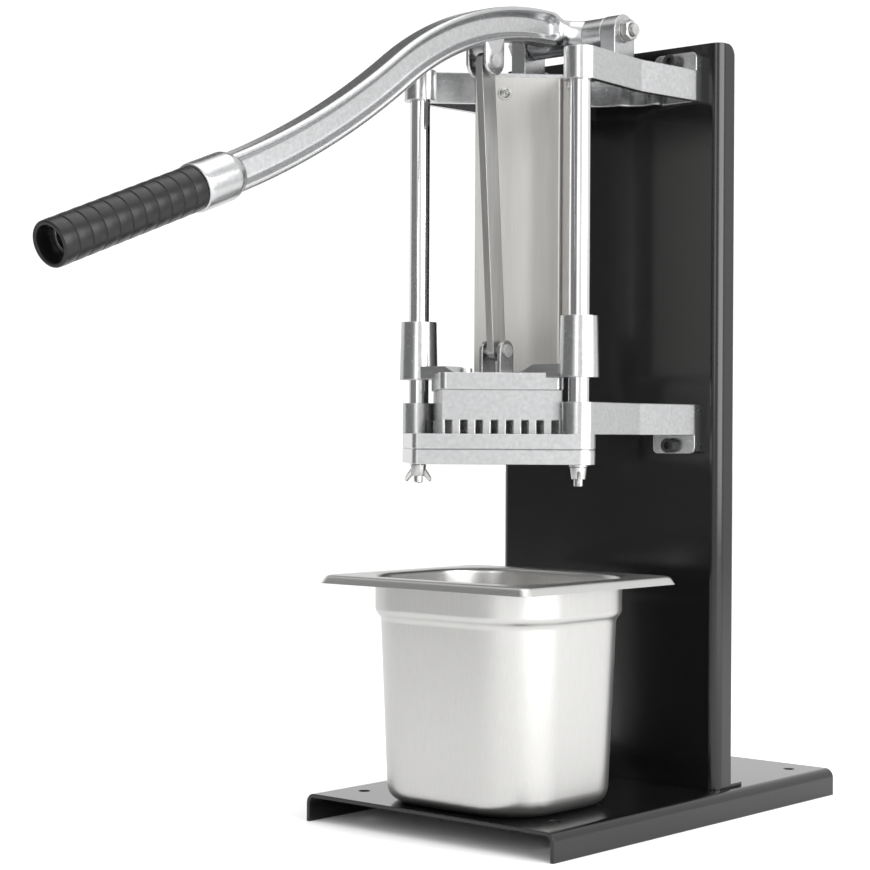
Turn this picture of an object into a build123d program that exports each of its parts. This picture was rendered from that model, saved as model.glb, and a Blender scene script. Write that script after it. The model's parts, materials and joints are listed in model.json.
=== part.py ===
from build123d import *
import os
from math import atan2, cos, degrees, hypot, radians, sin, sqrt

# Upright lever cutter for potato chips, on a folded steel stand. Millimetres, +Z up, +Y to the back.
# The origin is on the table, under the middle of the overall length with the lever almost down.

# Base and column
base_length = 335.0
base_width = 211.0
base_height = 19.0
base_sheet = 2.5
base_bend = 6.5  # outside radius of the folded sides
base_middle_y = 155.3
mount_hole_d = 8.0
mount_side_inset = 23.5  # holes to the base's edges
mount_front_inset = 32.0
mount_rear_inset = 23.0
column_setback = 195.3  # base front edge to the column's face
column_inset = 10.0  # base side to the column's side
column_top = 533.0
column_depth = 18.0
column_sheet = 2.5
column_bend = 7.0
column_top_round = 8.0
foot_depth = 36.0
foot_corner = 6.0
foot_bolt_inset = 11.5  # column side to the foot bolts
foot_bolt_back = 25.0  # column face to the foot bolts

# Head: the cutting square stands on its corner, with a guide rod at the left and right corners
head_reach = 124.0  # column face to the guide rods' plane
rod_spacing = 138.5
rod_d = 14.0
rod_top_inset = 0.5
boss_d = 22.0
stud_d = 6.0
stud_length = 28.0
rod_ledge = 4.0  # ledge in the lower frame that the rod's shoulder stands on
lower_z = 253.0  # underside of the lower frame
lower_plate_t = 10.0
arm_height = 21.0
upper_z = 493.0  # underside of the upper frame
square_corner = 4.0
edge_break = 0.6
feed_side = 80.0  # cutting square
feed_relief = 1.0  # opening of the lower frame beyond the cutting square, each side

# Arms of both frames and the flanges that carry them
waist_x = 75.0
waist_back = 60.0  # guide rods to the arm's waist
flange_out = 81.3
flange_in = 47.0
flange_t = 8.0
flange_edge = 5.6  # flange edge to the screw's axis
flange_corner = 4.0
flange_screw_x = 62.5
lower_arm_in = 55.0
lower_arm_back = 100.0
cast_wall = 5.0
cast_roof = 6.0
web_back = 86.0  # guide rods to the rear of the upper web, at the middle
pad_in = 24.0
pad_back = 106.0
scallop = 5.0

# Handle pivot
pivot_reach = 42.0  # column face to the pivot
pivot_z = 540.0
pivot_d = 8.0
lug_gap = 66.0
lug_t = 12.0
lug_w = 23.0
barrel_d = 22.0
barrel_play = 0.3

# Handle arm: an I-section along two arcs, from the pivot to the socket
arm_rise_deg = 7.3  # first rise in front of the pivot
crown_radius = 256.0
crown_sweep_deg = 43.5
heel_radius = 648.0
heel_sweep_deg = 15.2
arm_depth = 23.0
arm_width = 18.0
arm_rib = 4.5
arm_web = 7.0
recess_start = 0.09  # share of the arm's length
recess_end = 0.985
neck_reach = 24.0
neck_flare = 12.0
neck_back = 7.5  # end of the flare, in front of the pivot
neck_sag = 4.0
neck_height = 18.0
socket_d = 29.5
socket_length = 33.5
socket_overlap = 9.5  # socket behind the end of the arm's line
socket_floor = 5.0
socket_edge = 2.0
tube_d = 20.0
tube_wall = 2.0
grip_d = 27.0
grip_length = 110.0
grip_bands = 11
band_groove = 0.8
band_slope = 1.2
grip_mouth = 12.0  # depth of the open end
grip_lip = 2.0

# Link between handle and pusher
link_width = 13.0
link_t = 5.5
link_reach = 95.5  # pivot to the handle's link pin, forwards
link_drop = 29.5  # pivot to the handle's link pin, downwards
link_low_z = 318.5
pin_d = 6.0
pin_head_d = 9.0
pin_head_t = 1.6
clevis_gap = 13.0
clevis_t = 2.5
handle_lug_w = 19.0
handle_lug_rise = 18.0
pusher_lug_w = 14.0
open_pin_gap = 0.5  # pin stubs to the link, where the linkage is left open

# Pusher
block_side = 79.0
block_z = 255.0
block_height = 37.0
cell_spacing = 10.0
blade_count = 8
block_slot = 4.8
block_slot_depth = 17.0
carriage_side = 82.0
carriage_t = 11.0
carriage_corner = 5.0
sleeve_z = 300.0
sleeve_length = 40.0
sleeve_low_d = 26.5
sleeve_top_d = 24.6
web_low_x = 26.0
web_high_x = 38.0
web_rise = 6.0
web_w = 18.0
block_screw_d = 5.0
block_screw_head_d = 9.0
block_screw_head_t = 3.0
block_screw_hold = 12.0  # length in the block
block_screw_spacing = 64.0

# Blade frame
blade_frame_t = 9.7
blade_t = 0.8
blade_height = 8.0
blade_floor = 1.0
blade_seat = 4.0
seat_play = 0.1

# Feed chute
chute_gap = 50.0  # cutting axis to the chute's inside faces
chute_sheet = 1.2
chute_wing = 61.0
chute_bend = 3.0
chute_low_z = 306.0
chute_top_z = 511.0
chute_screw_along = 40.0  # bend to the screw, along the wing
chute_screw_drop = 11.0
chute_screw_d = 4.0
chute_screw_head_d = 7.0
chute_screw_head_t = 2.2
chute_screw_head_deg = 20.0
chute_washer_d = 9.5
chute_washer_t = 0.8

# Fasteners
screw_d = 6.0
screw_head_d = 10.0
screw_head_t = 6.0
screw_key = 5.0
screw_key_depth = 3.0
head_room = 2.2
nut_across = 10.0
nut_t = 5.0
hex_head_t = 4.0
washer_d = 12.0
washer_t = 1.4
thread_past_nut = 3.0
pivot_nut_across = 13.0
pivot_nut_t = 5.5
pivot_head_t = 5.3
pivot_washer_d = 16.0
pivot_washer_t = 1.2
wing_hub_d = 11.0
wing_tip_d = 9.0
wing_hub_t = 8.0
wing_span = 18.0
wing_drop = 12.5
wing_top = 1.5
wing_tip_h = 5.0
wing_t = 2.4
wing_round = 1.8
wing_left_deg = 35.0  # how the nuts happen to stand
wing_right_deg = 131.0

# Catch pan, a sixth-size catering pan, loose on the base
pan_aside = 9.0  # cutting axis to the pan's middle, to the right
pan_ahead = 7.5  # and to the front
pan_rim_x = 177.0
pan_rim_y = 163.0
pan_depth = 150.0
pan_wall = 0.9
pan_rim_w = 15.0
pan_skirt = 5.6
pan_skirt_deg = 30.0
pan_corner = 42.0
pan_rim_corner = 6.0
pan_shoulder_drop = 27.0
pan_shoulder_in = 3.2
pan_taper_deg = 2.1
pan_foot_round = 12.0

# Fits, all radial or face to face
running_fit = 0.08
press_play = 0.03
hole_play = 0.25
thread_play = 0.08
face_play = 0.1

root2 = sqrt(2)
base_front_y = base_middle_y - base_length / 2
base_back_y = base_front_y + base_length
mount_spacing_x = base_width - 2 * mount_side_inset
mount_spacing_y = base_length - mount_front_inset - mount_rear_inset
mount_middle_y = base_back_y - mount_rear_inset - mount_spacing_y / 2
column_width = base_width - 2 * column_inset
foot_bolt_spacing = column_width - 2 * foot_bolt_inset
column_face_y = base_front_y + column_setback
foot_bolt_y = column_face_y + foot_bolt_back
head_y = column_face_y - head_reach
rod_x = rod_spacing / 2
boss_r = boss_d / 2
lower_arm_z = lower_z + lower_plate_t
lower_top_z = lower_arm_z + arm_height
rod_seat_z = lower_z + rod_ledge
upper_top_z = upper_z + arm_height
screw_offset = screw_head_d / 2 + head_room
upper_screw_z = upper_top_z + screw_offset
lower_screw_z = lower_arm_z - screw_offset
flange_front_y = column_face_y - flange_t
square_half = rod_x / root2 + boss_r
pivot_y = column_face_y - pivot_reach
link_top = (pivot_y - link_reach, pivot_z - link_drop)
link_low = (head_y, link_low_z)
blade_frame_z = lower_z - blade_frame_t
blade_z = blade_frame_z + blade_floor
blade_length = feed_side + 2 * blade_seat
carriage_z = block_z + block_height
carriage_top_z = carriage_z + carriage_t
chute_corner_y = head_y + chute_gap * root2
vee_y = chute_corner_y + chute_sheet * root2
chute_screw_z = chute_top_z - chute_screw_drop
washer_z = blade_frame_z - washer_t
pan_z = base_height + face_play
pan_top_z = pan_z + pan_depth
pan_middle = (pan_aside, head_y - pan_ahead)


def head_plane(z):
    # Local X points to the back right, local Y to the back left, square to the cutting square
    return Plane(origin=(0, head_y, z), x_dir=(1, 1, 0), z_dir=(0, 0, 1))


def side_plane(x):
    # Local X is the machine's Y, local Y its Z
    return Plane.YZ.offset(x)


def front_planes(points, y):
    # Planes that face the front, at the given X and Z
    return [Plane(origin=(x, y, z), x_dir=(1, 0, 0), z_dir=(0, -1, 0)) for x, z in points]


def chute_screw_planes():
    # Planes on the chute's inside faces, facing the cutting axis
    along = chute_screw_along / root2
    return [
        Plane(origin=(side * along, chute_corner_y - along, chute_screw_z), z_dir=(-side, -1, 0))
        for side in (-1, 1)
    ]


rod_points = [(-rod_x, head_y), (rod_x, head_y)]
upper_screws = [(-flange_screw_x, upper_screw_z), (flange_screw_x, upper_screw_z)]
lower_screws = [(-flange_screw_x, lower_screw_z), (flange_screw_x, lower_screw_z)]
os.makedirs("parts", exist_ok=True)

# Base, a sheet folded down along its left and right sides
with BuildPart() as base_plate:
    with BuildSketch(Plane.XZ.offset(-base_back_y)) as base_outside:
        with Locations((0, base_height / 2)):
            Rectangle(base_width, base_height)
        fillet(base_outside.vertices().group_by(Axis.Y)[-1], base_bend)
    extrude(amount=base_length)
    with BuildSketch(Plane.XZ.offset(-base_back_y)) as base_inside:
        with Locations((0, (base_height - base_sheet) / 2)):
            Rectangle(base_width - 2 * base_sheet, base_height - base_sheet)
        fillet(base_inside.vertices().group_by(Axis.Y)[-1], base_bend - base_sheet)
    extrude(amount=base_length, mode=Mode.SUBTRACT)
    with Locations((0, mount_middle_y, base_height)):
        with GridLocations(mount_spacing_x, mount_spacing_y, 2, 2):
            Hole(mount_hole_d / 2)
    with Locations((0, foot_bolt_y, base_height)):
        with GridLocations(foot_bolt_spacing, 0, 2, 1):
            Hole(screw_d / 2 + hole_play)
base_plate.part.label = "base_plate"
export_step(base_plate.part, "parts/base_plate.step")

# Column, a sheet folded back along both sides and at the foot
with BuildPart() as column:
    with BuildSketch(Plane.XY.offset(base_height)) as column_outside:
        with Locations((0, column_face_y + column_depth / 2)):
            Rectangle(column_width, column_depth)
        fillet(column_outside.vertices().group_by(Axis.Y)[0], column_bend)
    extrude(amount=column_top - base_height)
    with BuildSketch(Plane.XY.offset(base_height)) as column_inside:
        with Locations((0, column_face_y + (column_depth + column_sheet) / 2)):
            Rectangle(column_width - 2 * column_sheet, column_depth - column_sheet)
        fillet(column_inside.vertices().group_by(Axis.Y)[0], column_bend - column_sheet)
    extrude(amount=column_top - base_height, mode=Mode.SUBTRACT)
    top_edges = column.edges().filter_by(Axis.X).group_by(Axis.Z)[-1]
    fillet(top_edges.group_by(Axis.Y)[-1], column_top_round)
    with BuildSketch(Plane.XY.offset(base_height)) as column_foot:
        with Locations((0, column_face_y + foot_depth / 2)):
            Rectangle(column_width - 2 * column_bend, foot_depth)
        with Locations((0, column_face_y + (column_depth + foot_depth) / 2)):
            Rectangle(column_width, foot_depth - column_depth)
        fillet(column_foot.vertices().group_by(Axis.Y)[-1], foot_corner)
    extrude(amount=column_sheet)
    with Locations((0, foot_bolt_y, base_height + column_sheet)):
        with GridLocations(foot_bolt_spacing, 0, 2, 1):
            Hole(screw_d / 2 + hole_play)
    with Locations(*front_planes(upper_screws + lower_screws, column_face_y)):
        Hole(screw_d / 2 + hole_play)
column.part.label = "column"
export_step(column.part, "parts/column.step")

# Foot bolts with washers, and their nuts under the base
with BuildPart() as column_bolts:
    foot_top_z = base_height + column_sheet
    with BuildSketch(Plane.XY.offset(foot_top_z)):
        with Locations((0, foot_bolt_y)):
            with GridLocations(foot_bolt_spacing, 0, 2, 1):
                Circle(washer_d / 2)
    extrude(amount=washer_t)
    with BuildSketch(Plane.XY.offset(foot_top_z + washer_t)):
        with Locations((0, foot_bolt_y)):
            with GridLocations(foot_bolt_spacing, 0, 2, 1):
                RegularPolygon(nut_across / 2, 6, major_radius=False)
    extrude(amount=hex_head_t)
    with BuildSketch(Plane.XY.offset(foot_top_z)):
        with Locations((0, foot_bolt_y)):
            with GridLocations(foot_bolt_spacing, 0, 2, 1):
                Circle(screw_d / 2)
    extrude(amount=-(column_sheet + base_sheet + nut_t + thread_past_nut))
column_bolts.part.label = "column_bolts"
export_step(column_bolts.part, "parts/column_bolts.step")

with BuildPart() as column_nuts:
    with BuildSketch(Plane.XY.offset(base_height - base_sheet)):
        with Locations((0, foot_bolt_y)):
            with GridLocations(foot_bolt_spacing, 0, 2, 1):
                RegularPolygon(nut_across / 2, 6, major_radius=False)
                Circle(screw_d / 2 + thread_play, mode=Mode.SUBTRACT)
    extrude(amount=-nut_t)
column_nuts.part.label = "column_nuts"
export_step(column_nuts.part, "parts/column_nuts.step")

# Upper frame, a casting hollow from below, with a boss for each rod, pivot lugs and flanges
with BuildPart() as upper_frame:
    with BuildSketch(Plane.XY.offset(upper_z)) as upper_plan:
        with BuildLine():
            outline = Polyline(
                (0, head_y + web_back),
                (0, vee_y),
                (rod_x, vee_y - rod_x),
                (rod_x + boss_r, head_y),
                (waist_x, head_y + waist_back),
                (flange_out, flange_front_y),
                (flange_out, column_face_y),
                (flange_in, column_face_y),
                (flange_in, flange_front_y),
            )
            notch = SagittaArc(outline @ 1, (pad_in, head_y + pad_back), -scallop)
            SagittaArc(notch @ 1, outline @ 0, -scallop)
        make_face()
        mirror(about=Plane.YZ)
        with Locations(*rod_points):
            Circle(boss_r)
    extrude(amount=arm_height)
    with BuildSketch(Plane.XY.offset(upper_z)) as upper_pocket:
        add(upper_plan.sketch_local)
        offset(amount=-cast_wall, mode=Mode.REPLACE)
    extrude(amount=arm_height - cast_roof, mode=Mode.SUBTRACT)
    with BuildSketch(Plane.XY.offset(upper_z)):
        with Locations(*rod_points):
            Circle(boss_r)
    extrude(amount=arm_height)
    with BuildSketch(Plane.XZ.offset(-column_face_y)) as upper_flange:
        with Locations((-(flange_in + flange_out) / 2, upper_top_z), ((flange_in + flange_out) / 2, upper_top_z)):
            Rectangle(flange_out - flange_in, 2 * (screw_offset + flange_edge))
        fillet(upper_flange.vertices().group_by(Axis.Y)[-1], flange_corner)
    extrude(amount=flange_t)
    for lug_x in (-lug_gap / 2 - lug_t, lug_gap / 2):
        with BuildSketch(side_plane(lug_x)):
            with Locations((pivot_y, pivot_z)):
                Circle(lug_w / 2)
            with Locations((pivot_y, (pivot_z + upper_top_z) / 2)):
                Rectangle(lug_w, pivot_z - upper_top_z)
        extrude(amount=lug_t)
    with BuildSketch(side_plane(0)):
        with Locations((pivot_y, pivot_z)):
            Circle(pivot_d / 2 + hole_play)
    extrude(amount=lug_gap / 2 + lug_t, both=True, mode=Mode.SUBTRACT)
    with Locations(*[(x, y, upper_top_z) for x, y in rod_points]):
        Hole(rod_d / 2 + press_play)
    with Locations(*front_planes(upper_screws, flange_front_y)):
        Hole(screw_d / 2 + hole_play, depth=flange_t)
    with Locations(*chute_screw_planes()):
        Hole(chute_screw_d / 2 + hole_play, depth=chute_sheet + 2 * cast_wall)
upper_frame.part.label = "upper_frame"
export_step(upper_frame.part, "parts/upper_frame.step")

# Lower frame, the square plate with the opening, bosses and arms
with BuildPart() as lower_frame:
    with BuildSketch(head_plane(lower_z)) as lower_plate:
        Rectangle(2 * square_half, 2 * square_half)
        fillet(lower_plate.vertices().sort_by(lambda v: v.X - v.Y)[1:-1], square_corner)
        corners = lower_plate.vertices().sort_by(lambda v: v.X - v.Y)
        fillet([corners[0], corners[-1]], boss_r)
    extrude(amount=lower_plate_t)
    chamfer(lower_frame.faces().sort_by(Axis.Z)[0].outer_wire().edges(), edge_break)
    with BuildSketch(Plane.XY.offset(lower_arm_z)) as lower_arms:
        with BuildLine():
            Polyline(
                (lower_arm_in, head_y + square_half * root2 - lower_arm_in - cast_wall),
                (rod_x, head_y),
                (rod_x + boss_r, head_y),
                (waist_x, head_y + waist_back),
                (flange_out, flange_front_y),
                (flange_out, column_face_y),
                (flange_in, column_face_y),
                (flange_in, flange_front_y),
                (lower_arm_in, head_y + lower_arm_back),
                close=True,
            )
        make_face()
        mirror(about=Plane.YZ)
        with Locations(*rod_points):
            Circle(boss_r)
    extrude(amount=arm_height)
    with BuildSketch(Plane.XZ.offset(-column_face_y)) as lower_flange:
        with Locations((-(flange_in + flange_out) / 2, lower_arm_z), ((flange_in + flange_out) / 2, lower_arm_z)):
            Rectangle(flange_out - flange_in, 2 * (screw_offset + flange_edge))
        fillet(lower_flange.vertices().group_by(Axis.Y)[0], flange_corner)
    extrude(amount=flange_t)
    with BuildSketch(head_plane(lower_z)):
        Rectangle(feed_side + 2 * feed_relief, feed_side + 2 * feed_relief)
    extrude(amount=lower_plate_t + arm_height, mode=Mode.SUBTRACT)
    with Locations(*[(x, y, lower_top_z) for x, y in rod_points]):
        Hole(rod_d / 2 + press_play, depth=lower_top_z - rod_seat_z)
        Hole(stud_d / 2 + hole_play)
    with Locations(*front_planes(lower_screws, flange_front_y)):
        Hole(screw_d / 2 + hole_play, depth=flange_t)
lower_frame.part.label = "lower_frame"
export_step(lower_frame.part, "parts/lower_frame.step")

# Cap screws of the frames, and their nuts behind the column
with BuildPart() as upper_frame_screws:
    for screw_plane in front_planes(upper_screws, flange_front_y):
        with BuildSketch(screw_plane):
            Circle(screw_head_d / 2)
        extrude(amount=screw_head_t)
        with BuildSketch(screw_plane):
            Circle(screw_d / 2)
        extrude(amount=-(flange_t + column_sheet + nut_t + thread_past_nut))
        with BuildSketch(screw_plane.offset(screw_head_t)):
            RegularPolygon(screw_key / 2, 6, major_radius=False)
        extrude(amount=-screw_key_depth, mode=Mode.SUBTRACT)
upper_frame_screws.part.label = "upper_frame_screws"
export_step(upper_frame_screws.part, "parts/upper_frame_screws.step")

with BuildPart() as lower_frame_screws:
    for screw_plane in front_planes(lower_screws, flange_front_y):
        with BuildSketch(screw_plane):
            Circle(screw_head_d / 2)
        extrude(amount=screw_head_t)
        with BuildSketch(screw_plane):
            Circle(screw_d / 2)
        extrude(amount=-(flange_t + column_sheet + nut_t + thread_past_nut))
        with BuildSketch(screw_plane.offset(screw_head_t)):
            RegularPolygon(screw_key / 2, 6, major_radius=False)
        extrude(amount=-screw_key_depth, mode=Mode.SUBTRACT)
lower_frame_screws.part.label = "lower_frame_screws"
export_step(lower_frame_screws.part, "parts/lower_frame_screws.step")

with BuildPart() as frame_nuts:
    for nut_plane in front_planes(upper_screws + lower_screws, column_face_y + column_sheet):
        with BuildSketch(nut_plane):
            RegularPolygon(nut_across / 2, 6, major_radius=False)
            Circle(screw_d / 2 + thread_play, mode=Mode.SUBTRACT)
        extrude(amount=-nut_t)
frame_nuts.part.label = "frame_nuts"
export_step(frame_nuts.part, "parts/frame_nuts.step")

# Guide rods with a threaded lower end
for rod_name, rod_side in (("guide_rod_left", -1), ("guide_rod_right", 1)):
    with BuildPart() as guide_rod:
        with BuildSketch(Plane.XY.offset(rod_seat_z)):
            with Locations((rod_side * rod_x, head_y)):
                Circle(rod_d / 2)
        extrude(amount=upper_top_z - rod_top_inset - rod_seat_z)
        with BuildSketch(Plane.XY.offset(rod_seat_z)):
            with Locations((rod_side * rod_x, head_y)):
                Circle(stud_d / 2)
        extrude(amount=-stud_length)
        chamfer(guide_rod.edges().filter_by(GeomType.CIRCLE).sort_by(Axis.Z)[0], edge_break)
    guide_rod.part.label = rod_name
    export_step(guide_rod.part, f"parts/{rod_name}.step")

# Blade frame: the same square, clamped under the lower frame, with seats for the blades
with BuildPart() as blade_frame:
    with BuildSketch(head_plane(blade_frame_z)) as blade_plate:
        Rectangle(2 * square_half, 2 * square_half)
        fillet(blade_plate.vertices().sort_by(lambda v: v.X - v.Y)[1:-1], square_corner)
        corners = blade_plate.vertices().sort_by(lambda v: v.X - v.Y)
        fillet([corners[0], corners[-1]], boss_r)
    extrude(amount=blade_frame_t)
    chamfer(blade_frame.faces().sort_by(Axis.Z)[-1].outer_wire().edges(), edge_break)
    with BuildSketch(head_plane(blade_frame_z)):
        Rectangle(feed_side, feed_side)
    extrude(amount=blade_frame_t, mode=Mode.SUBTRACT)
    with BuildSketch(head_plane(blade_z)):
        with GridLocations(0, cell_spacing, 1, blade_count):
            Rectangle(blade_length + 2 * seat_play, blade_t + 2 * seat_play)
        with GridLocations(cell_spacing, 0, blade_count, 1):
            Rectangle(blade_t + 2 * seat_play, blade_length + 2 * seat_play)
    extrude(amount=blade_frame_t, mode=Mode.SUBTRACT)
    with Locations(*[(x, y, lower_z) for x, y in rod_points]):
        Hole(stud_d / 2 + hole_play)
blade_frame.part.label = "blade_frame"
export_step(blade_frame.part, "parts/blade_frame.step")

# Blades, two sets of strips that are notched into each other
with BuildPart() as blades_right:
    with BuildSketch(head_plane(blade_z)):
        with GridLocations(0, cell_spacing, 1, blade_count):
            Rectangle(blade_length, blade_t)
    extrude(amount=blade_height)
    with BuildSketch(head_plane(blade_z + blade_height / 2 - seat_play)):
        with GridLocations(cell_spacing, 0, blade_count, 1):
            Rectangle(blade_t + 2 * seat_play, blade_length)
    extrude(amount=blade_height, mode=Mode.SUBTRACT)
blades_right.part.label = "blades_right"
export_step(blades_right.part, "parts/blades_right.step")

with BuildPart() as blades_left:
    with BuildSketch(head_plane(blade_z)):
        with GridLocations(cell_spacing, 0, blade_count, 1):
            Rectangle(blade_t, blade_length)
    extrude(amount=blade_height)
    with BuildSketch(head_plane(blade_z + blade_height / 2 + seat_play)):
        with GridLocations(0, cell_spacing, 1, blade_count):
            Rectangle(blade_length, blade_t + 2 * seat_play)
    extrude(amount=-blade_height, mode=Mode.SUBTRACT)
blades_left.part.label = "blades_left"
export_step(blades_left.part, "parts/blades_left.step")

# Washers and wing nuts that clamp the blade frame
with BuildPart() as blade_washers:
    with BuildSketch(Plane.XY.offset(washer_z)):
        with Locations(*rod_points):
            Circle(washer_d / 2)
            Circle(stud_d / 2 + hole_play, mode=Mode.SUBTRACT)
    extrude(amount=washer_t)
blade_washers.part.label = "blade_washers"
export_step(blade_washers.part, "parts/blade_washers.step")

for nut_name, nut_side, nut_turn in (
    ("wing_nut_left", -1, wing_left_deg),
    ("wing_nut_right", 1, wing_right_deg),
):
    nut_origin = (nut_side * rod_x, head_y, washer_z - face_play)
    wing_dir = (cos(radians(nut_turn)), sin(radians(nut_turn)), 0)
    wing_normal = (sin(radians(nut_turn)), -cos(radians(nut_turn)), 0)
    with BuildPart() as wing_nut:
        with Locations(nut_origin):
            Cone(wing_tip_d / 2, wing_hub_d / 2, wing_hub_t, align=(Align.CENTER, Align.CENTER, Align.MAX))
        with BuildSketch(Plane(origin=nut_origin, x_dir=wing_dir, z_dir=wing_normal)) as wings:
            for wing_side in (-1, 1):
                with BuildLine():
                    Polyline(
                        (0, -wing_top),
                        (wing_side * wing_hub_d / 2, -wing_top),
                        (wing_side * wing_span / 2, wing_tip_h - wing_drop),
                        (wing_side * wing_span / 2, -wing_drop),
                        (wing_side * (wing_span / 2 - wing_tip_h), -wing_drop),
                        (0, -wing_hub_t),
                        close=True,
                    )
                make_face()
            tip_low, tip_high = -wing_drop - face_play, wing_tip_h - wing_drop + face_play
            fillet(wings.vertices().filter_by_position(Axis.Y, tip_low, tip_high), wing_round)
        extrude(amount=wing_t / 2, both=True)
        with Locations(nut_origin):
            Hole(stud_d / 2 + thread_play)
    wing_nut.part.label = nut_name
    export_step(wing_nut.part, f"parts/{nut_name}.step")

# Feed chute, a sheet folded to a right angle that lies in the upper frame's notch
with BuildPart() as feed_chute:
    with BuildSketch(head_plane(chute_low_z)):
        chute_line = chute_gap + chute_sheet / 2
        with BuildLine():
            FilletPolyline(
                (chute_line - chute_wing, chute_line),
                (chute_line, chute_line),
                (chute_line, chute_line - chute_wing),
                radius=chute_bend,
            )
        trace(line_width=chute_sheet)
    extrude(amount=chute_top_z - chute_low_z)
    with Locations(*chute_screw_planes()):
        Hole(chute_screw_d / 2 + hole_play, depth=chute_sheet + cast_wall)
feed_chute.part.label = "feed_chute"
export_step(feed_chute.part, "parts/feed_chute.step")

with BuildPart() as chute_screws:
    for screw_plane in chute_screw_planes():
        with BuildSketch(screw_plane):
            Circle(chute_washer_d / 2)
        extrude(amount=chute_washer_t)
        with BuildSketch(screw_plane.offset(chute_washer_t)):
            Circle(chute_screw_head_d / 2)
        extrude(amount=chute_screw_head_t, taper=chute_screw_head_deg)
        with BuildSketch(screw_plane):
            Circle(chute_screw_d / 2)
        extrude(amount=-(chute_sheet + cast_wall))
chute_screws.part.label = "chute_screws"
export_step(chute_screws.part, "parts/chute_screws.step")

# Pivot bolt, its washers and nut
pivot_out = lug_gap / 2 + lug_t
with BuildPart() as pivot_bolt:
    with BuildSketch(side_plane(-pivot_out - pivot_washer_t)):
        with Locations((pivot_y, pivot_z)):
            RegularPolygon(pivot_nut_across / 2, 6, major_radius=False)
    extrude(amount=-pivot_head_t)
    with BuildSketch(side_plane(-pivot_out - pivot_washer_t)):
        with Locations((pivot_y, pivot_z)):
            Circle(pivot_d / 2)
    extrude(amount=2 * pivot_out + 2 * pivot_washer_t + pivot_nut_t + thread_past_nut)
pivot_bolt.part.label = "pivot_bolt"
export_step(pivot_bolt.part, "parts/pivot_bolt.step")

with BuildPart() as pivot_washers:
    for washer_x in (-pivot_out - pivot_washer_t, pivot_out):
        with BuildSketch(side_plane(washer_x)):
            with Locations((pivot_y, pivot_z)):
                Circle(pivot_washer_d / 2)
                Circle(pivot_d / 2 + hole_play, mode=Mode.SUBTRACT)
        extrude(amount=pivot_washer_t)
pivot_washers.part.label = "pivot_washers"
export_step(pivot_washers.part, "parts/pivot_washers.step")

with BuildPart() as pivot_nut:
    with BuildSketch(side_plane(pivot_out + pivot_washer_t)):
        with Locations((pivot_y, pivot_z)):
            RegularPolygon(pivot_nut_across / 2, 6, major_radius=False)
            Circle(pivot_d / 2 + thread_play, mode=Mode.SUBTRACT)
    extrude(amount=pivot_nut_t)
pivot_nut.part.label = "pivot_nut"
export_step(pivot_nut.part, "parts/pivot_nut.step")

# Handle arm, with the pivot barrel, the link lugs and the socket for the tube
with BuildLine() as arm_line:
    first_way = (-cos(radians(arm_rise_deg)), sin(radians(arm_rise_deg)))
    crown = JernArc((pivot_y, pivot_z), first_way, crown_radius, crown_sweep_deg)
    heel = JernArc(crown @ 1, crown % 1, heel_radius, -heel_sweep_deg)
arm_end = heel @ 1
arm_way = heel % 1
socket_back = arm_end - arm_way * socket_overlap


def socket_plane(along):
    # Square to the handle's axis, facing the grip, at a distance from the socket's closed end
    point = socket_back + arm_way * along
    return Plane(origin=(0, point.X, point.Y), x_dir=(1, 0, 0), z_dir=(0, arm_way.X, arm_way.Y))


with BuildPart() as handle_arm:
    with BuildSketch(side_plane(-arm_width / 2)):
        trace(arm_line.line, line_width=arm_depth)
    extrude(amount=arm_width)
    recess_line = arm_line.wire().trim(recess_start, recess_end)
    recess_width = arm_depth - 2 * arm_rib
    for recess_x in (-arm_width / 2, arm_web / 2):
        with BuildSketch(side_plane(recess_x)):
            trace(recess_line, line_width=recess_width)
            with Locations(recess_line @ 0, recess_line @ 1):
                Circle(recess_width / 2)
        extrude(amount=(arm_width - arm_web) / 2, mode=Mode.SUBTRACT)
    with BuildSketch(Plane.XY.offset(pivot_z - neck_height / 2)):
        with BuildLine():
            neck = Line((0, pivot_y - neck_reach), (arm_width / 2, pivot_y - neck_reach))
            flare = SagittaArc(neck @ 1, (arm_width / 2 + neck_flare, pivot_y - neck_back), neck_sag)
            Polyline(flare @ 1, (arm_width / 2 + neck_flare, pivot_y), (0, pivot_y), neck @ 0)
        make_face()
        mirror(about=Plane.YZ)
    extrude(amount=neck_height)
    with BuildSketch(side_plane(0)):
        with Locations((pivot_y, pivot_z)):
            Circle(barrel_d / 2)
    extrude(amount=lug_gap / 2 - barrel_play, both=True)
    for lug_x in (-clevis_gap / 2 - clevis_t, clevis_gap / 2):
        with BuildSketch(side_plane(lug_x)):
            with Locations(link_top):
                Circle(handle_lug_w / 2)
            with Locations((link_top[0], link_top[1] + handle_lug_rise / 2)):
                Rectangle(handle_lug_w, handle_lug_rise)
        extrude(amount=clevis_t)
    with BuildSketch(socket_plane(0)):
        Circle(socket_d / 2)
    extrude(amount=socket_length)
    with BuildSketch(socket_plane(socket_floor)):
        Circle(tube_d / 2 + press_play)
    extrude(amount=socket_length, mode=Mode.SUBTRACT)
    with BuildSketch(side_plane(0)):
        with Locations((pivot_y, pivot_z)):
            Circle(pivot_d / 2 + running_fit)
    extrude(amount=lug_gap / 2, both=True, mode=Mode.SUBTRACT)
    with BuildSketch(side_plane(0)):
        with Locations(link_top):
            Circle(pin_d / 2 + press_play)
    extrude(amount=clevis_gap / 2 + clevis_t, both=True, mode=Mode.SUBTRACT)
handle_arm.part.label = "handle_arm"
export_step(handle_arm.part, "parts/handle_arm.step")

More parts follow.
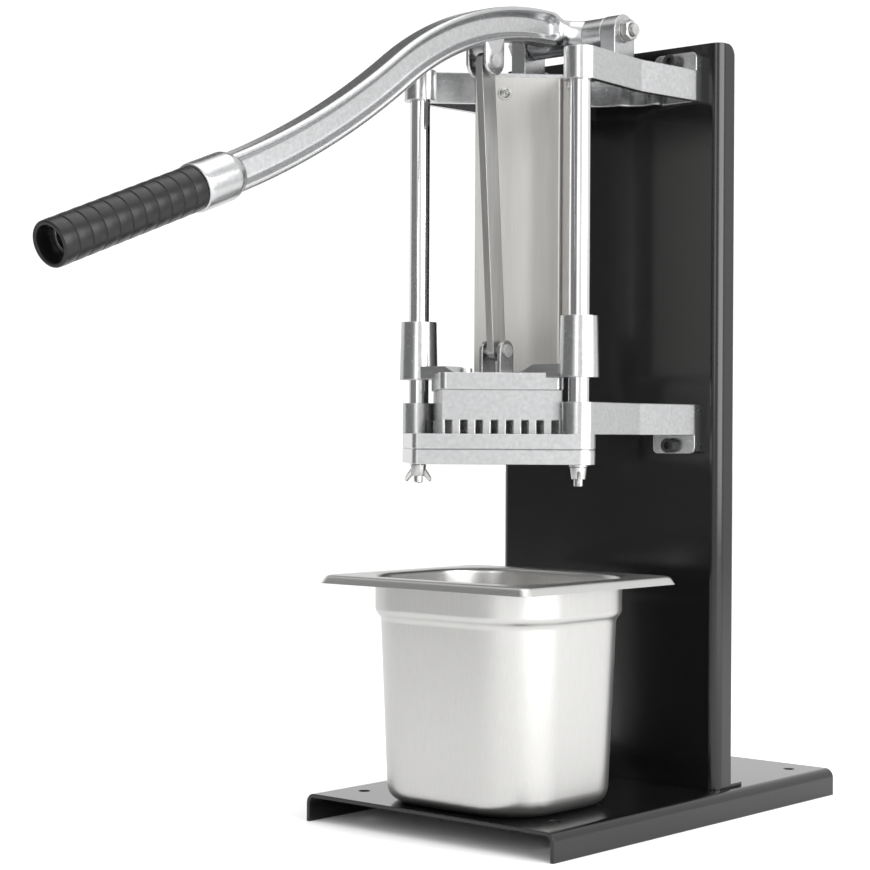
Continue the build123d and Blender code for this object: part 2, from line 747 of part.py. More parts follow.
with BuildPart() as handle_tube:
    with BuildSketch(socket_plane(socket_floor)):
        Circle(tube_d / 2)
        Circle(tube_d / 2 - tube_wall, mode=Mode.SUBTRACT)
    extrude(amount=socket_length - socket_floor + grip_length - grip_mouth)
handle_tube.part.label = "handle_tube"
export_step(handle_tube.part, "parts/handle_tube.step")

# Grip with rounded bands and an open end
with BuildPart() as handle_grip:
    grip_plane = socket_plane(socket_length)
    band = grip_length / grip_bands
    with BuildSketch(Plane(origin=grip_plane.origin, x_dir=grip_plane.z_dir, z_dir=(-1, 0, 0))):
        with BuildLine():
            grip_r = grip_d / 2
            groove_r = grip_r - band_groove
            bands = [
                Polyline(
                    (start, groove_r),
                    (start + band_slope, grip_r),
                    (start + band - band_slope, grip_r),
                    (start + band, groove_r),
                )
                for start in [step * band for step in range(grip_bands)]
            ]
            Polyline(
                bands[-1] @ 1,
                (grip_length, groove_r - grip_lip),
                (grip_length - grip_mouth, groove_r - grip_lip),
                (grip_length - grip_mouth, tube_d / 2 + press_play),
                (0, tube_d / 2 + press_play),
                (0, groove_r),
            )
        make_face()
    revolve(axis=Axis(grip_plane.origin, grip_plane.z_dir))
handle_grip.part.label = "handle_grip"
export_step(handle_grip.part, "parts/handle_grip.step")

# Pin stubs in the handle's lugs; they stop short of the link, where the linkage is left open
with BuildPart() as link_pin_upper:
    stub_in = link_t / 2 + open_pin_gap
    stub_out = clevis_gap / 2 + clevis_t
    for stub_side in (-1, 1):
        with BuildSketch(side_plane(stub_side * stub_in)):
            with Locations(link_top):
                Circle(pin_d / 2)
        extrude(amount=stub_side * (stub_out - stub_in))
        with BuildSketch(side_plane(stub_side * stub_out)):
            with Locations(link_top):
                Circle(pin_head_d / 2)
        extrude(amount=stub_side * pin_head_t)
link_pin_upper.part.label = "link_pin_upper"
export_step(link_pin_upper.part, "parts/link_pin_upper.step")

# Link bar
with BuildPart() as link_bar:
    link_run = (link_top[0] - link_low[0], link_top[1] - link_low[1])
    link_middle = ((link_top[0] + link_low[0]) / 2, (link_top[1] + link_low[1]) / 2)
    with BuildSketch(side_plane(0)):
        with Locations(link_middle):
            SlotCenterToCenter(hypot(*link_run), link_width, rotation=degrees(atan2(link_run[1], link_run[0])))
        with Locations(link_low, link_top):
            Circle(pin_d / 2 + running_fit, mode=Mode.SUBTRACT)
    extrude(amount=link_t / 2, both=True)
link_bar.part.label = "link_bar"
export_step(link_bar.part, "parts/link_bar.step")

# Pusher carriage: plate, two sleeves on the rods, webs and link lugs
with BuildPart() as pusher_carriage:
    with BuildSketch(head_plane(carriage_z)) as carriage_plate:
        RectangleRounded(carriage_side, carriage_side, carriage_corner)
    extrude(amount=carriage_t)
    with BuildSketch(Plane.XZ.offset(-head_y)):
        for web_side in (-1, 1):
            with BuildLine():
                Polyline(
                    (web_side * web_low_x, sleeve_z),
                    (web_side * web_low_x, carriage_top_z),
                    (web_side * web_high_x, carriage_top_z + web_rise),
                    (web_side * rod_x, carriage_top_z + web_rise),
                    (web_side * rod_x, sleeve_z),
                    close=True,
                )
            make_face()
    extrude(amount=web_w / 2, both=True)
    with Locations(*[(x, y, sleeve_z) for x, y in rod_points]):
        Cone(sleeve_low_d / 2, sleeve_top_d / 2, sleeve_length, align=(Align.CENTER, Align.CENTER, Align.MIN))
    for lug_x in (-clevis_gap / 2 - clevis_t, clevis_gap / 2):
        with BuildSketch(side_plane(lug_x)):
            with Locations(link_low):
                Circle(pusher_lug_w / 2)
            with Locations((head_y, (link_low_z + carriage_z) / 2)):
                Rectangle(pusher_lug_w, link_low_z - carriage_z)
        extrude(amount=clevis_t)
    with Locations(*[(x, y, sleeve_z + sleeve_length) for x, y in rod_points]):
        Hole(rod_d / 2 + running_fit)
    with BuildSketch(side_plane(0)):
        with Locations(link_low):
            Circle(pin_d / 2 + press_play)
    extrude(amount=clevis_gap / 2 + clevis_t, both=True, mode=Mode.SUBTRACT)
    with Locations((0, head_y, carriage_top_z)):
        with GridLocations(0, block_screw_spacing, 1, 2):
            Hole(block_screw_d / 2 + hole_play)
pusher_carriage.part.label = "pusher_carriage"
export_step(pusher_carriage.part, "parts/pusher_carriage.step")

# Pusher block, slotted both ways so that its posts pass between the blades
with BuildPart() as pusher_block:
    with BuildSketch(head_plane(block_z)):
        Rectangle(block_side, block_side)
    extrude(amount=block_height)
    with BuildSketch(head_plane(block_z)):
        with GridLocations(0, cell_spacing, 1, blade_count):
            Rectangle(block_side, block_slot)
        with GridLocations(cell_spacing, 0, blade_count, 1):
            Rectangle(block_slot, block_side)
    extrude(amount=block_slot_depth, mode=Mode.SUBTRACT)
    with Locations((0, head_y, carriage_z)):
        with GridLocations(0, block_screw_spacing, 1, 2):
            Hole(block_screw_d / 2 + thread_play, depth=block_screw_hold + face_play)
pusher_block.part.label = "pusher_block"
export_step(pusher_block.part, "parts/pusher_block.step")

with BuildPart() as block_screws:
    with BuildSketch(Plane.XY.offset(carriage_top_z)):
        with Locations((0, head_y)):
            with GridLocations(0, block_screw_spacing, 1, 2):
                Circle(block_screw_head_d / 2)
    extrude(amount=block_screw_head_t)
    with BuildSketch(Plane.XY.offset(carriage_top_z)):
        with Locations((0, head_y)):
            with GridLocations(0, block_screw_spacing, 1, 2):
                Circle(block_screw_d / 2)
    extrude(amount=-(carriage_t + block_screw_hold))
block_screws.part.label = "block_screws"
export_step(block_screws.part, "parts/block_screws.step")

# Lower link pin, through both lugs and the link
with BuildPart() as link_pin_lower:
    pin_out = clevis_gap / 2 + clevis_t
    with BuildSketch(side_plane(0)):
        with Locations(link_low):
            Circle(pin_d / 2)
    extrude(amount=pin_out + pin_head_t, both=True)
    for head_x in (-pin_out - pin_head_t, pin_out):
        with BuildSketch(side_plane(head_x)):
            with Locations(link_low):
                Circle(pin_head_d / 2)
        extrude(amount=pin_head_t)
link_pin_lower.part.label = "link_pin_lower"
export_step(link_pin_lower.part, "parts/link_pin_lower.step")

# Catch pan with a stacking shoulder, a flat rim and a sloped edge
pan_open_x = pan_rim_x - 2 * pan_rim_w
pan_open_y = pan_rim_y - 2 * pan_rim_w
pan_shoulder_z = pan_top_z - pan_shoulder_drop
skirt_out = pan_skirt * sin(radians(pan_skirt_deg)) / cos(radians(pan_skirt_deg))


def pan_core(inset):
    # Solid of the pan's body, moved inwards by the inset
    with BuildPart() as core:
        with BuildSketch(Plane.XY.offset(pan_shoulder_z + inset)):
            with Locations(pan_middle):
                RectangleRounded(
                    pan_open_x - 2 * (pan_shoulder_in + inset),
                    pan_open_y - 2 * (pan_shoulder_in + inset),
                    pan_corner - inset,
                )
        extrude(amount=pan_z - pan_shoulder_z, taper=pan_taper_deg)
        fillet(core.faces().sort_by(Axis.Z)[0].outer_wire().edges(), pan_foot_round - inset)
        with BuildSketch(Plane.XY.offset(pan_shoulder_z + inset)):
            with Locations(pan_middle):
                RectangleRounded(pan_open_x - 2 * inset, pan_open_y - 2 * inset, pan_corner - inset)
        extrude(amount=pan_shoulder_drop - inset)
    return core.part


pan_outside = pan_core(0)
pan_inside = pan_core(pan_wall)
with BuildPart() as catch_pan:
    with BuildSketch(Plane.XY.offset(pan_top_z)):
        with Locations(pan_middle):
            RectangleRounded(pan_rim_x - 2 * skirt_out, pan_rim_y - 2 * skirt_out, pan_rim_corner)
    extrude(amount=-pan_skirt, taper=-pan_skirt_deg)
    with BuildSketch(Plane.XY.offset(pan_top_z - pan_wall)):
        with Locations(pan_middle):
            RectangleRounded(
                pan_rim_x - 2 * (skirt_out + pan_wall / 2),
                pan_rim_y - 2 * (skirt_out + pan_wall / 2),
                pan_rim_corner - pan_wall / 2,
            )
    extrude(amount=-pan_skirt, taper=-pan_skirt_deg, mode=Mode.SUBTRACT)
    add(pan_outside)
    add(pan_inside, mode=Mode.SUBTRACT)
catch_pan.part.label = "catch_pan"
export_step(catch_pan.part, "parts/catch_pan.step")
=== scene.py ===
import json
import math

import bmesh
import bpy
import numpy as np
from mathutils import Matrix, Vector


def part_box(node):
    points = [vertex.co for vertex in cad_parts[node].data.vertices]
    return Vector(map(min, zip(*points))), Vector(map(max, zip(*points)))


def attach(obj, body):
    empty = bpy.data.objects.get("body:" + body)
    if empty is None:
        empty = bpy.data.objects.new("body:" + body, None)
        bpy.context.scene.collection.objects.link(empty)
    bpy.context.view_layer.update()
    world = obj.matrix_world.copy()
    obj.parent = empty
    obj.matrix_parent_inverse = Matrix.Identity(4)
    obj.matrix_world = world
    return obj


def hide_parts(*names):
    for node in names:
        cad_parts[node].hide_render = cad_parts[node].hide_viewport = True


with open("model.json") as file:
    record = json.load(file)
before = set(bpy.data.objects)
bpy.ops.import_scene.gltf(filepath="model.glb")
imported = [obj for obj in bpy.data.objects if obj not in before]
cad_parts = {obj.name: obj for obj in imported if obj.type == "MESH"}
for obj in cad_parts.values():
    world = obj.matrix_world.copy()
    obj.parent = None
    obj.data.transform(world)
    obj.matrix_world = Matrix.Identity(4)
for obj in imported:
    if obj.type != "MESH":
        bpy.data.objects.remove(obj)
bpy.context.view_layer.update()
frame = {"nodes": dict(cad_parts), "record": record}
nodes = frame["nodes"]
scene = bpy.context.scene
print("frame loaded with", len(nodes), "nodes")


# Shader sums written as Python: each operator adds one Math node
class Wire:
    def __init__(self, tree, socket=None):
        self.tree, self.socket = tree, socket

    def node(self, kind, inputs=None, out=0, **settings):
        made = self.tree.nodes.new("ShaderNode" + kind)
        for name, value in settings.items():
            if name == "stops":  # a ramp's stops as (place, colour)
                ramp = made.color_ramp.elements
                while len(ramp) < len(value):
                    ramp.new(1.0)
                for stop, (place, colour) in zip(ramp, value):
                    stop.position, stop.color = place, colour
            else:
                setattr(made, name, value)
        for key, value in (inputs or {}).items():
            if isinstance(value, Wire):
                self.tree.links.new(value.socket, made.inputs[key])
            else:
                made.inputs[key].default_value = value
        return Wire(self.tree, made.outputs[out])

    def sum(self, operation, first, second):
        return self.node("Math", {0: first, 1: second}, operation=operation)

    def __add__(self, other):
        return self.sum("ADD", self, other)

    def __radd__(self, other):
        return self.sum("ADD", other, self)

    def __sub__(self, other):
        return self.sum("SUBTRACT", self, other)

    def __rsub__(self, other):
        return self.sum("SUBTRACT", other, self)

    def __mul__(self, other):
        return self.sum("MULTIPLY", self, other)

    def __rmul__(self, other):
        return self.sum("MULTIPLY", other, self)

    def __truediv__(self, other):
        return self.sum("DIVIDE", self, other)

    def __pow__(self, other):
        return self.sum("POWER", self, other)


def noiseOn(place, scale, detail=2.0, rough=0.5):
    return place.node("TexNoise", {"Vector": place, "Scale": scale, "Detail": detail, "Roughness": rough})


def stretched(place, scale, turn=(0, 0, 0)):
    return place.node("Mapping", {"Vector": place, "Scale": scale, "Rotation": turn})


def smoothStep(wire, low, high):
    ends = {"Value": wire, "From Min": low, "From Max": high}
    return wire.node("MapRange", ends, interpolation_type="SMOOTHSTEP")


def blendColours(factor, first, second):
    return factor.node(
        "Mix", {"Factor": factor, 6: (*first, 1.0) if isinstance(first, tuple) else first,
                7: (*second, 1.0) if isinstance(second, tuple) else second},
        out=2, data_type="RGBA")


def softEdge(wire, radius):
    return wire.node("Bevel", {"Radius": radius}, samples=4)


def bumped(height, strength, distance, normal=None):
    inputs = {"Height": height, "Strength": strength, "Distance": distance}
    if normal is not None:
        inputs["Normal"] = normal
    return height.node("Bump", inputs)


def makeFinish(name, fixed, surface):
    made = bpy.data.materials.new(name)
    made.use_nodes = True
    tree = made.node_tree
    shader = next(n for n in tree.nodes if n.type == "BSDF_PRINCIPLED")
    for socket, value in fixed.items():
        shader.inputs[socket].default_value = value
    place = Wire(tree).node("TexCoord", out="Object")
    for socket, wire in surface(place).items():
        tree.links.new(wire.socket, shader.inputs[socket])
    return made


powderCoat = {"dark": (0.0035, 0.0035, 0.0038), "light": (0.0075, 0.0075, 0.008), "gloss": 0.11,
              "peel": 900.0}


def powderSurface(place):
    # fine orange peel, with the gloss a little uneven over a hand's width
    peel = noiseOn(place, powderCoat["peel"], 3.0)
    cloud = noiseOn(place, 14.0, 3.0)
    speck = smoothStep(noiseOn(place, 2600.0, 1.0), 0.62, 0.72)
    return {
        "Base Color": blendColours(cloud * 0.7 + speck * 0.3, powderCoat["dark"], powderCoat["light"]),
        "Roughness": powderCoat["gloss"] + cloud * 0.08 + speck * 0.06,
        "Normal": bumped(peel, 0.07, 0.0003, softEdge(place, 0.0012)),
    }


castMetal = {"dark": (0.43, 0.433, 0.437), "light": (0.48, 0.483, 0.487), "gloss": 0.22, "edge": 0.0012}


def castSurface(place):
    # tumbled casting: a soft mottle, fine grain, and a few pits
    mottle = noiseOn(place, 340.0, 3.0, 0.55)
    grain = noiseOn(place, 1500.0, 3.0)
    pits = smoothStep(noiseOn(place, 520.0, 1.0), 0.70, 0.78)
    tone = smoothStep(mottle, 0.25, 0.75)
    return {
        "Base Color": blendColours(tone * (1 - pits * 0.3), castMetal["dark"], castMetal["light"]),
        "Roughness": castMetal["gloss"] + mottle * 0.06 + pits * 0.05,
        "Normal": bumped(grain * 0.5 + mottle * 0.3 - pits * 0.1, 0.018, 0.0003,
                         softEdge(place, castMetal["edge"])),
    }


rodChrome = {"dark": (0.60, 0.60, 0.61), "light": (0.66, 0.66, 0.67), "gloss": 0.05}


def chromeSurface(place):
    # drawn along the rod, with faint rub marks from the sleeves
    streak = noiseOn(stretched(place, (900.0, 900.0, 6.0)), 1.0, 3.0)
    rub = noiseOn(stretched(place, (60.0, 60.0, 14.0)), 1.0, 2.0)
    return {
        "Base Color": blendColours(rub, rodChrome["dark"], rodChrome["light"]),
        "Roughness": rodChrome["gloss"] + streak * 0.04 + smoothStep(rub, 0.5, 0.8) * 0.05,
        "Normal": bumped(streak, 0.03, 0.0001, softEdge(place, 0.0005)),
    }


sheetSteel = {"dark": (0.47, 0.467, 0.457), "light": (0.51, 0.507, 0.497), "gloss": 0.25}
chuteSteel = {"dark": (0.44, 0.432, 0.415), "light": (0.47, 0.462, 0.445), "gloss": 0.26}


def brushedSurface(across, along, values):
    def surface(place):
        # brushed: noise drawn out along the brushing, with cloudy gloss
        streak = noiseOn(stretched(place, (across[0], across[1], along)), 1.0, 4.0, 0.6)
        cloud = noiseOn(place, 22.0, 3.0)
        return {
            "Base Color": blendColours(smoothStep(streak, 0.3, 0.7), values["dark"], values["light"]),
            "Roughness": values["gloss"] + streak * 0.10 + cloud * 0.08,
            "Normal": bumped(streak, 0.02, 0.0001, softEdge(place, 0.0005)),
        }
    return surface


zincPlate = {"dark": (0.38, 0.38, 0.37), "light": (0.56, 0.56, 0.55), "gloss": 0.26}


def zincSurface(place):
    # bright zinc with a faint cloud
    cloud = noiseOn(place, 260.0, 3.0)
    grain = noiseOn(place, 2200.0, 2.0)
    return {
        "Base Color": blendColours(cloud, zincPlate["dark"], zincPlate["light"]),
        "Roughness": zincPlate["gloss"] + cloud * 0.18,
        "Normal": bumped(grain, 0.06, 0.0002, softEdge(place, 0.0004)),
    }


blackSteel = {"dark": (0.010, 0.010, 0.010), "light": (0.035, 0.034, 0.033), "gloss": 0.34}


def blackSurface(place):
    # black oxide, oily, with lighter rubs
    cloud = noiseOn(place, 420.0, 3.0)
    return {
        "Base Color": blendColours(cloud, blackSteel["dark"], blackSteel["light"]),
        "Roughness": blackSteel["gloss"] + cloud * 0.2,
        "Normal": bumped(noiseOn(place, 2400.0, 2.0), 0.06, 0.0002, softEdge(place, 0.0006)),
    }


gripRubber = {"dark": (0.004, 0.004, 0.0045), "light": (0.008, 0.008, 0.0085), "gloss": 0.24}


def rubberSurface(place):
    # moulded rubber: fine stipple and a dull bloom
    stipple = noiseOn(place, 1700.0, 2.0)
    bloom = noiseOn(place, 45.0, 3.0)
    return {
        "Base Color": blendColours(bloom, gripRubber["dark"], gripRubber["light"]),
        "Roughness": gripRubber["gloss"] + bloom * 0.16,
        "Normal": bumped(stipple, 0.08, 0.0003, softEdge(place, 0.0006)),
    }


metal = {"Metallic": 1.0}
finishes = {
    "black_coat": makeFinish("powderCoat", {"Specular IOR Level": 0.45}, powderSurface),
    "cast_aluminium": makeFinish("castAluminium", metal, castSurface),
    "block_aluminium": makeFinish("machinedAluminium", metal, castSurface),
    "chrome_rod": makeFinish("rodChrome", metal, chromeSurface),
    "stainless_sheet": makeFinish("brushedSheet", metal, brushedSurface((2600.0, 2600.0), 40.0, sheetSteel)),
    "blade_steel": makeFinish("bladeSteel", metal, brushedSurface((300.0, 300.0), 900.0, sheetSteel)),
    "link_steel": makeFinish("linkSteel", metal, brushedSurface((500.0, 500.0), 20.0, sheetSteel)),
    "tube_steel": makeFinish("tubeSteel", metal, zincSurface),
    "zinc": makeFinish("zincPlate", metal, zincSurface),
    "black_screw": makeFinish("blackScrew", {"Metallic": 0.2}, blackSurface),
    "grip_rubber": makeFinish("gripRubber", {"Specular IOR Level": 0.3}, rubberSurface),
}
for row in frame["record"]["subparts"]:
    mesh = nodes[row["node"]].data
    mesh.materials.clear()
    mesh.materials.append(finishes[row["material_slot"]])
chuteSurface = brushedSurface((1800.0, 1800.0), 30.0, chuteSteel)
nodes["feed_chute"].data.materials[0] = makeFinish("chuteSheet", metal, chuteSurface)
print("finishes on", len(nodes), "nodes")


# Grids of points to closed meshes
meshRules = {"merge": 2e-6, "sharp": 0.75}  # metres between doubles, radians at a hard edge


def surfaceObject(name, points, closedU=False, closedV=True, caps=(), smooth=True):
    # rows by columns of points joined by quads; a cap is one face over the first or last row
    rows, columns = points.shape[:2]
    i, j = np.meshgrid(np.arange(rows - (not closedU)), np.arange(columns - (not closedV)), indexing="ij")
    up, on = (i + 1) % rows, (j + 1) % columns
    corners = [i * columns + j, up * columns + j, up * columns + on, i * columns + on]
    faces = np.stack(corners, -1).reshape(-1, 4).tolist()
    if "first" in caps:
        faces.append(list(range(columns)))
    if "last" in caps:
        faces.append(list(range((rows - 1) * columns, rows * columns)))
    mesh = bpy.data.meshes.new(name)
    mesh.from_pydata(points.reshape(-1, 3).tolist(), [], faces)
    work = bmesh.new()
    work.from_mesh(mesh)
    bmesh.ops.remove_doubles(work, verts=work.verts, dist=meshRules["merge"])
    if caps or closedU:  # a closed shell, so outwards is known
        bmesh.ops.recalc_face_normals(work, faces=work.faces)
    work.to_mesh(mesh)
    work.free()
    mesh.polygons.foreach_set("use_smooth", [smooth] * len(mesh.polygons))
    mesh.set_sharp_from_angle(angle=meshRules["sharp"])
    made = bpy.data.objects.new(name, mesh)
    scene.collection.objects.link(made)
    return made


def dress(piece, body, slot, *nodesReplaced):
    piece.data.materials.append(finishes[slot])
    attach(piece, body)
    if nodesReplaced:
        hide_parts(*nodesReplaced)
    return piece


def roundTurn(steps):
    return np.linspace(0, 2 * math.pi, steps + 1)[:-1]


def ringWays(axis, turn):
    # unit vectors square to the axis, one for each turn
    side = np.cross(axis, (0.0, 0.0, 1.0) if abs(axis[2]) < 0.9 else (1.0, 0.0, 0.0))
    side /= np.linalg.norm(side)
    return np.outer(np.cos(turn), side) + np.outer(np.sin(turn), np.cross(axis, side))


def spun(profile, origin, axis, steps=72):
    # each profile point (along, radius) goes round the axis
    axis = np.array(axis) / np.linalg.norm(axis)
    along, radius = np.array(profile, float).T
    ways = ringWays(axis, roundTurn(steps))
    return np.array(origin) + along[:, None, None] * axis + radius[:, None, None] * ways


def rounded(points, radius, steps=4):
    # a polyline with each inner corner swapped for a quadratic curve; one radius for all, or one for each
    points = np.array(points, float)
    before, corner, after = points[:-2], points[1:-1], points[2:]
    back, on = before - corner, after - corner
    backLong, onLong = np.linalg.norm(back, axis=1), np.linalg.norm(on, axis=1)
    reach = np.minimum(np.minimum(backLong, onLong) * 0.49, radius)
    start, end = corner + back * (reach / backLong)[:, None], corner + on * (reach / onLong)[:, None]
    t = np.linspace(0, 1, steps + 1)[None, :, None]
    curve = (1 - t) ** 2 * start[:, None] + 2 * t * (1 - t) * corner[:, None] + t ** 2 * end[:, None]
    return np.concatenate([points[:1], curve.reshape(-1, 2), points[-1:]])


def ease(x, low, high):
    t = np.clip((x - low) / (high - low), 0, 1)
    return t * t * (3 - 2 * t)


mm = 0.001
pivotLow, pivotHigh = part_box("pivot_washers")
pivotY, pivotZ = (pivotLow[1] + pivotHigh[1]) / 2, (pivotLow[2] + pivotHigh[2]) / 2

leverArm = {"rise": 7.3, "crown": (256.0, 43.5), "heel": (648.0, 15.2), "depth": 23.0, "width": 18.0, "round": 3.4,
            "recess": 5.5, "recessHalf": 6.9, "recessEnd": (23.0, 30.0), "recessNarrow": 0.45, "slope": 2.3,
            "start": 6.0, "fineTo": 40.0, "neckLong": 26.0, "neckFlare": 14.0, "neckCurve": 2.4, "neckHigh": 18.0,
            "neckRound": 8.6, "neckTallEnd": (14.0, 30.0), "neckRoundEnd": (15.0, 30.0)}


def armLine(values, far):
    # two joined arcs in the side plane: place and heading at each distance from the pivot, in millimetres
    (crownR, crownTurn), (heelR, heelTurn) = values["crown"], values["heel"]
    start = math.radians(180 - values["rise"])
    crownLong = crownR * math.radians(crownTurn)
    first = start + np.minimum(far, crownLong) / crownR
    heading = first - np.maximum(far - crownLong, 0) / heelR
    crownY = crownR * (np.sin(first) - math.sin(start))
    crownZ = crownR * (math.cos(start) - np.cos(first))
    y = crownY - heelR * (np.sin(heading) - np.sin(first))
    z = crownZ + heelR * (np.cos(heading) - np.cos(first))
    return pivotY / mm + y, pivotZ / mm + z, heading


armLong = sum(radius * math.radians(sweep) for radius, sweep in (leverArm["crown"], leverArm["heel"]))


def makeArm(values):
    # an I-section carried along the arm's line: a rounded bar with a smooth groove in each side
    start, fineTo, narrow = values["start"], values["fineTo"], values["recessNarrow"]
    far = np.concatenate([np.linspace(start, fineTo, 52), np.linspace(fineTo + 1, armLong - 1, 150)])
    y, z, heading = armLine(values, far)
    short = np.clip((values["neckLong"] - far) / (values["neckLong"] - start), 0, 1)
    half = values["width"] / 2 + values["neckFlare"] * short ** values["neckCurve"]
    tall = (values["neckHigh"] + (values["depth"] - values["neckHigh"]) * ease(far, *values["neckTallEnd"])) / 2
    corner = values["neckRound"] + (values["round"] - values["neckRound"]) * ease(far, *values["neckRoundEnd"])
    groove = values["recess"] * ease(far, *values["recessEnd"])
    recessFrom, recessTo = values["recessEnd"]
    reach = values["recessHalf"] * (narrow + (1 - narrow) * ease(far, recessFrom, recessTo + 4))
    quarter = np.linspace(0, math.pi / 2, 9)[1:-1]
    run = np.linspace(1, -1, 57)
    up = run[None, :] * (tall - corner)[:, None]
    low, high = (reach - values["slope"])[:, None], (reach + values["slope"])[:, None]
    dip = groove[:, None] * (1 - ease(np.abs(up), low, high))
    sideA = half[:, None] - dip
    cornerA = (half - corner)[:, None] + corner[:, None] * np.cos(quarter)[None, ::-1]
    cornerB = (tall - corner)[:, None] + corner[:, None] * np.sin(quarter)[None, ::-1]
    flatA = (half - corner)[:, None] * np.linspace(-1, 1, 9)[None, :]
    flatB = np.repeat(tall[:, None], 9, 1)
    across = np.concatenate([flatA, cornerA, sideA, cornerA[:, ::-1], flatA[:, ::-1], -cornerA, -sideA[:, ::-1],
                             -cornerA[:, ::-1]], 1)
    upright = np.concatenate([flatB, cornerB, up, -cornerB[:, ::-1], -flatB, -cornerB, up[:, ::-1],
                              cornerB[:, ::-1]], 1)
    points = np.stack([across, y[:, None] + upright * np.sin(heading)[:, None],
                       z[:, None] - upright * np.cos(heading)[:, None]], -1) * mm
    return surfaceObject("leverArm", points, caps=("first", "last"))


dress(makeArm(leverArm), "lever", "cast_aluminium", "handle_arm")

leverBarrel = {"half": 32.7, "outside": 11.0, "bore": 4.09, "edge": 1.0}


def makeBarrel(values):
    # ring profile round the pivot's axis
    out, half, edge, bore = values["outside"], values["half"], values["edge"], values["bore"]
    profile = [(-half, bore), (-half, out - edge), (edge - half, out), (-half * 0.3, out), (half * 0.3, out),
               (half - edge, out), (half, out - edge), (half, bore)]
    points = spun(np.array(profile) * mm, (0, pivotY, pivotZ), (1, 0, 0))
    return surfaceObject("leverBarrel", points, closedU=True)


dress(makeBarrel(leverBarrel), "lever", "cast_aluminium")

endY, endZ, endHeading = armLine(leverArm, np.array([armLong]))
gripWay = np.array([0, math.cos(endHeading[0]), math.sin(endHeading[0])])

leverSocket = {"long": 33.5, "overArm": 9.5, "outside": 14.75, "bore": 10.03, "floor": 5.0, "shoulder": 7.0,
               "lip": 1.3, "tail": (-3.0, 8.0), "waist": (0.6, 2.6), "rim": (4.0, 0.2)}
socketBack = np.array([0, endY[0], endZ[0]]) * mm - gripWay * leverSocket["overArm"] * mm


def makeSocket(values):
    # ring profile round the grip's axis: rounded shoulder towards the arm, soft lip towards the grip
    out, bore, length = values["outside"], values["bore"], values["long"]
    tail, (waistAt, waistIn), (rimLong, rimIn) = values["tail"], values["waist"], values["rim"]
    outline = rounded([tail, (waistAt, out - waistIn), (values["shoulder"], out), (length - rimLong, out),
                       (length, out - rimIn), (length, bore), (values["floor"], bore), (values["floor"], 0.0)],
                      values["lip"], 5)
    profile = np.concatenate([[(tail[0], 0.0)], outline])
    points = spun(profile * mm, socketBack, gripWay)
    return surfaceObject("leverSocket", points, caps=("first", "last"))


dress(makeSocket(leverSocket), "lever", "cast_aluminium")

linkLug = {"apart": 13.0, "thick": 2.5, "width": 19.0, "rise": 14.0, "lean": 0.25, "hole": 3.03, "edge": 0.7,
           "ahead": 95.5, "below": 29.5}
linkHead = np.array([pivotY / mm - linkLug["ahead"], pivotZ / mm - linkLug["below"]])


def lugPlate(name, values, middle, x):
    # a plate with a hole: rings from the hole over one face, round the edge, over the other face and back
    turn = roundTurn(96)
    wide, hole, edge, half = values["width"] / 2, values["hole"], values["edge"], values["thick"] / 2
    circle = np.stack([np.cos(turn), np.sin(turn)], -1)
    sizes = np.maximum(np.abs(circle), 1e-6)
    reach = np.minimum(wide / sizes[:, 0], values["rise"] / sizes[:, 1])
    outer = circle * np.where(circle[:, 1] > 0, reach, wide)[:, None]
    outer[:, 1] += values["lean"] * outer[:, 0] * ease(outer[:, 1], 0, values["rise"])
    outLong = np.linalg.norm(outer, axis=1)[:, None]
    small, inset = circle * hole, outer * (1 - edge / outLong)
    rings = [(small, half - edge * 0.5), (small * (1 + edge / hole * 0.5), half), (inset, half),
             (outer * (1 - edge * 0.3 / outLong), half - edge * 0.3), (outer, half - edge), (outer, edge - half),
             (outer * (1 - edge * 0.3 / outLong), edge * 0.3 - half), (inset, -half),
             (small * (1 + edge / hole * 0.5), -half), (small, edge * 0.5 - half)]
    grid = np.array([np.column_stack([np.full(96, x + off), middle + flat]) for flat, off in rings])
    return surfaceObject(name, grid * mm, closedU=True)


for lugName, lugSide in (("linkLugLeft", -1), ("linkLugRight", 1)):
    lugX = lugSide * (linkLug["apart"] + linkLug["thick"]) / 2
    dress(lugPlate(lugName, linkLug, linkHead, lugX), "lever", "cast_aluminium")

grip = {"long": 110.0, "outside": 13.5, "bands": 11, "groove": 0.65, "grooveHalf": 0.65, "veeCurve": 1.3,
        "crown": 0.07, "ease": 0.08, "mouth": 12.0, "wall": 2.2, "bore": 10.03, "lip": 1.0}


def makeGrip(values):
    # ring profile: bands with a slight crown, a narrow vee between them, and an open end
    along = np.linspace(0, values["long"], values["bands"] * 34 + 1)
    step = values["long"] / values["bands"]
    phase = np.abs((along / step + 0.5) % 1 - 0.5) * step
    vee = values["groove"] * np.clip(1 - phase / values["grooveHalf"], 0, 1) ** values["veeCurve"]
    crown = values["crown"] * np.cos((along / step - 0.5) * 2 * math.pi)
    outside = values["outside"] - values["ease"] + crown - vee
    inner = values["outside"] - values["groove"] - values["wall"]
    lip = rounded([(along[-3], outside[-3]), (along[-1], outside[-3] - 0.3), (along[-1], inner),
                   (values["long"] - values["mouth"], inner)], values["lip"], 5)
    profile = np.concatenate([np.stack([along, outside], -1)[:-3], lip,
                              [(values["long"] - values["mouth"], values["bore"]), (0, values["bore"])]])
    gripBack = socketBack + gripWay * leverSocket["long"] * mm
    return surfaceObject("handleGrip", spun(profile * mm, gripBack, gripWay), closedU=True)


dress(makeGrip(grip), "lever", "grip_rubber", "handle_grip")
print("lever shaped")

